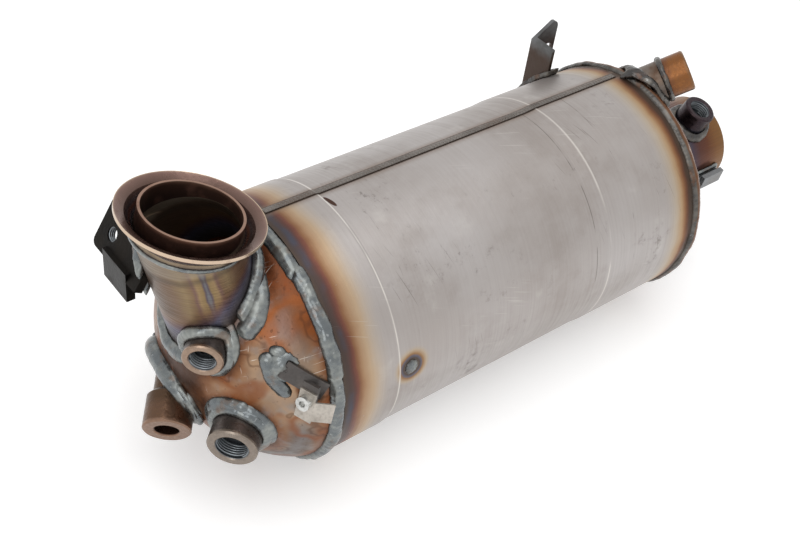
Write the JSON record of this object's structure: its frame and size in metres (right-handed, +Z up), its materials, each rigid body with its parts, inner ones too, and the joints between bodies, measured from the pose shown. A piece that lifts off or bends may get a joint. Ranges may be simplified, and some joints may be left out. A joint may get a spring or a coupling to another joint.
{
  "type": "diesel particulate filter",
  "caption": "Welded stainless diesel particulate filter: round canister with a domed inlet, leaning neck with clamp flange, sensor bosses, brackets and a straight outlet pipe.",
  "frame": {"origin": "centre of the inlet mouth, on the axis of the inlet stub's bore, at its rim", "axes": "+X along the canister axis from the inlet end to the outlet pipe, +Z up through the inlet neck, +Y towards the support bracket"},
  "size_m": [0.4467, 0.1612, 0.1915],
  "materials": {
    "canister_steel": "satin stainless sheet with warm stains, scratches and heat bands beside the end welds",
    "heat_tinted_steel": "stainless sheet heat tinted copper brown with blue-grey patches",
    "mouth_steel": "stainless tube heated dark brown inside",
    "neck_steel": "stainless tube with gold and purple heat bands",
    "flange_steel": "formed flange heated mauve brown with a bright copper rim",
    "turned_steel": "turned bosses with copper pink faces and grey threads",
    "copper_tinted_steel": "turned sleeve heat tinted orange copper",
    "outlet_steel": "stainless pipe with purple, orange and gold heat bands",
    "weld_bead": "rippled blue-grey weld metal with pits",
    "dark_strip": "dark scaled steel strip",
    "dark_plate": "near black scaled steel plate",
    "rusted_plate": "grey-brown steel plate with some rust",
    "zinc_sheet": "satin zinc plated sheet",
    "zinc_screw": "bright zinc plated screw",
    "ceramic_block": "porous ceramic block",
    "fibre_mat": "ceramic fibre mat",
    "wire_mesh": "knitted steel wire"
  },
  "bodies": {
    "root": {"canister_shell": "canister_steel", "shell_seam_weld": "weld_bead", "plug_weld": "weld_bead", "inlet_dome": "heat_tinted_steel", "inlet_ring_weld": "weld_bead", "inlet_stub": "mouth_steel", "inlet_neck": "neck_steel", "neck_weld": "weld_bead", "inlet_flange": "flange_steel", "flange_weld": "weld_bead", "temperature_boss": "turned_steel", "temperature_boss_weld": "weld_bead", "pressure_boss": "turned_steel", "pressure_boss_weld": "weld_bead", "oxygen_boss": "turned_steel", "oxygen_boss_weld": "weld_bead", "clip_tab": "dark_strip", "clip_tab_weld": "weld_bead", "line_clip": "zinc_sheet", "clip_screw": "zinc_screw", "inlet_bracket": "dark_plate", "inlet_bracket_weld": "weld_bead", "support_bracket": "rusted_plate", "support_bracket_weld": "weld_bead", "outlet_cap": "heat_tinted_steel", "outlet_ring_weld": "weld_bead", "outlet_pipe": "outlet_steel", "outlet_pipe_weld": "weld_bead", "outlet_boss": "turned_steel", "outlet_boss_weld": "weld_bead", "pressure_tap": "neck_steel", "pressure_tap_weld": "weld_bead", "tap_sleeve_end": "copper_tinted_steel", "tap_sleeve_weld": "weld_bead", "outlet_stay": "rusted_plate", "outlet_stay_weld": "weld_bead", "filter_monolith": "ceramic_block", "support_mat": "fibre_mat", "mat_seals": "wire_mesh"}
  },
  "joints": []
}
